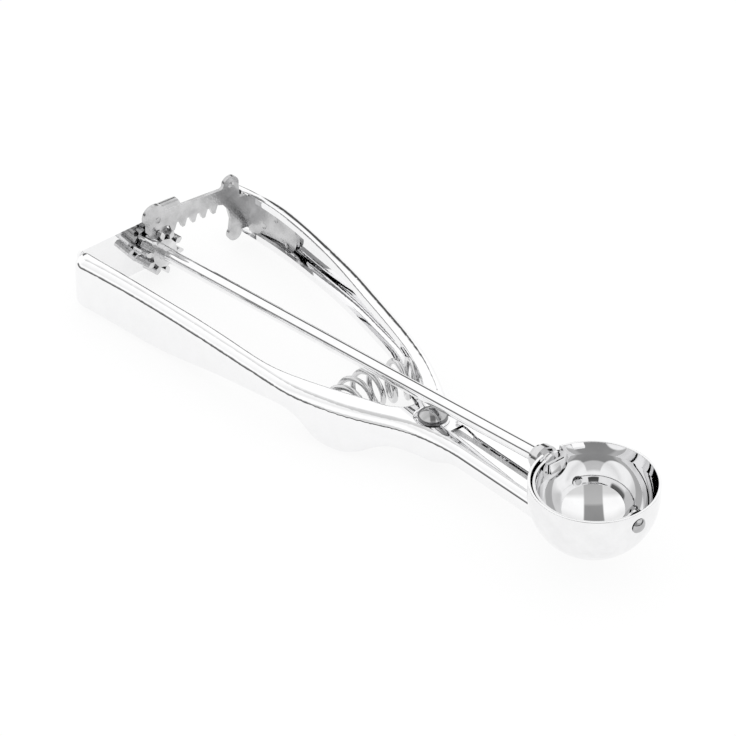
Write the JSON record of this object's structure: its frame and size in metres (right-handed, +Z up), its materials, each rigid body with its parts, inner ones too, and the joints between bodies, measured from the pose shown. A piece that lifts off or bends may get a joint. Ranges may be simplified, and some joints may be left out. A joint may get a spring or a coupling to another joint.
{
  "type": "lever ice cream scoop",
  "caption": "Squeeze-lever ice cream scoop: channel handles on a rivet, rack and pinion on a long rod, and a scraper blade that sweeps a round bowl.",
  "frame": {"origin": "table surface under the middle of the whole scoop, lying on its finger bumps and its tail", "axes": "+X along the handles towards the bowl, +Y from the fixed handle towards the lever, +Z up out of the bowl's mouth"},
  "size_m": [0.231, 0.0682, 0.0316],
  "materials": {
    "polished_handle": "mirror-polished stainless sheet",
    "polished_bowl": "mirror-polished stainless sheet",
    "polished_blade": "polished stainless strip",
    "drawn_rod": "bright drawn stainless rod",
    "cast_pinion": "sintered stainless, lightly tumbled",
    "stamped_rack": "stamped stainless sheet, tumbled",
    "spring_wire": "bright spring wire",
    "turned_bush": "turned stainless",
    "rivets": "headed stainless rivet",
    "washers": "stamped stainless washer"
  },
  "bodies": {
    "base": {"main_handle": "polished_handle", "bowl": "polished_bowl", "rod_bush": "turned_bush", "pivot_rivet": "rivets", "upper_washer": "washers", "lower_washer": "washers", "return_spring": "spring_wire", "front_rivet": "rivets", "front_washer": "washers"},
    "lever": {"lever_handle": "polished_handle", "rack_plate": "stamped_rack"},
    "rod": {"drive_rod": "drawn_rod", "drive_pinion": "cast_pinion", "thrust_washer": "washers", "end_washer": "washers"},
    "scraper": {"scraper_blade": "polished_blade"}
  },
  "joints": [
    {"name": "lever_squeeze", "type": "hinge", "parent": "base", "child": "lever", "pos_m": [0.0242, -0.00498, 0.01077], "axis": [0.0117, 0, 0.9999], "range_deg": [0, 8.35], "stiffness_Nm_per_rad": 2, "springref_deg": -2.86, "deforming": ["return_spring"]},
    {"name": "rod_turn", "type": "hinge", "parent": "base", "child": "rod", "pos_m": [0.0774, -0.00358, 0.0267], "axis": [0.9958, 0, 0.0911], "range_deg": [0, 180]},
    {"name": "scraper_sweep", "type": "hinge", "parent": "base", "child": "scraper", "pos_m": [0.09458, -0.00358, 0.02575], "axis": [0.9985, 0, -0.0553], "range_deg": [0, 180]}
  ],
  "couplings": [
    {"joint": "rod_turn", "follows": "lever_squeeze", "ratio": 21.56},
    {"joint": "scraper_sweep", "follows": "lever_squeeze", "ratio": 21.56}
  ]
}
